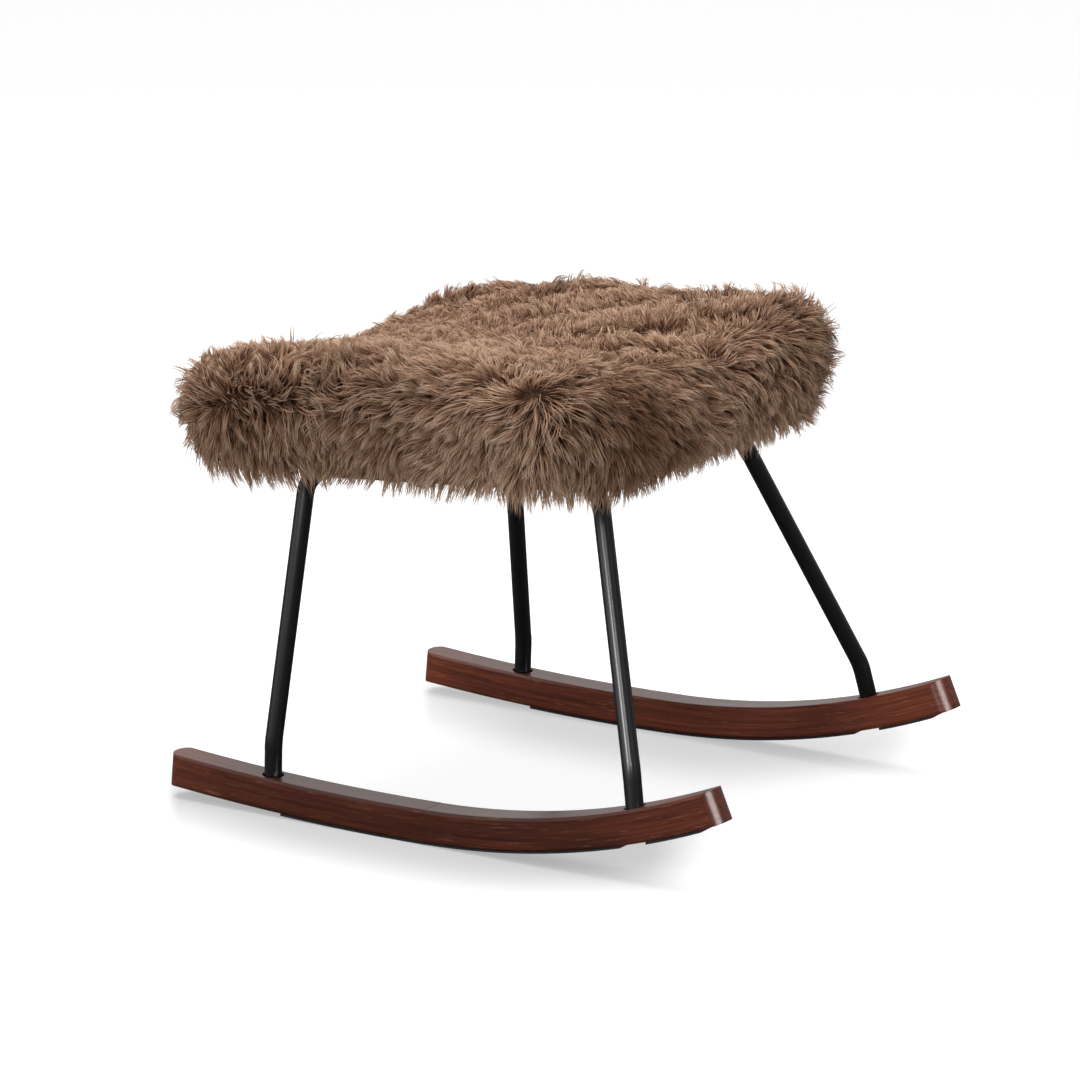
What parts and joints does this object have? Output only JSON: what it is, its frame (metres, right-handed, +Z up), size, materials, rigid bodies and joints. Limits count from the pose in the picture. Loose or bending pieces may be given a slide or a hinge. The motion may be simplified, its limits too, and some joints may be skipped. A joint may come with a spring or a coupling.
{
  "type": "rocking footstool",
  "caption": "Footstool with a long-pile fur seat pad on bent steel tube legs, which rocks on a pair of curved wooden rockers.",
  "frame": {"origin": "on the floor under the middle of the whole stool at rest, in the plane of symmetry", "axes": "+X along the rockers toward the end that curves up more (the toe), +Y across to the left rocker, +Z up"},
  "size_m": [0.5845, 0.452, 0.434],
  "materials": {
    "stained_wood": "satin lacquer over a brown stain",
    "felt": "pressed felt",
    "black_steel": "satin black powder coat",
    "zinc_steel": "zinc plated",
    "black_rubber": "matt",
    "plywood": "raw plywood",
    "foam": "open cell foam",
    "fur": "long brown pile, lighter at the tips",
    "black_cloth": "spun-bonded cloth"
  },
  "bodies": {
    "root": {"rocker_right": "stained_wood", "rocker_left": "stained_wood", "floor_felt_right": "felt", "floor_felt_left": "felt", "leg_frame_right": "black_steel", "leg_frame_left": "black_steel", "leg_plugs": "zinc_steel", "rocker_bolts": "zinc_steel", "rocker_washers": "zinc_steel", "cross_bar_front": "black_steel", "cross_bar_back": "black_steel", "seat_spacers": "black_rubber", "seat_bolts": "zinc_steel", "seat_washers": "zinc_steel", "tee_nuts": "zinc_steel", "seat_board": "plywood", "seat_foam": "foam", "fur_cover": "fur", "dust_cloth": "black_cloth"}
  },
  "joints": []
}
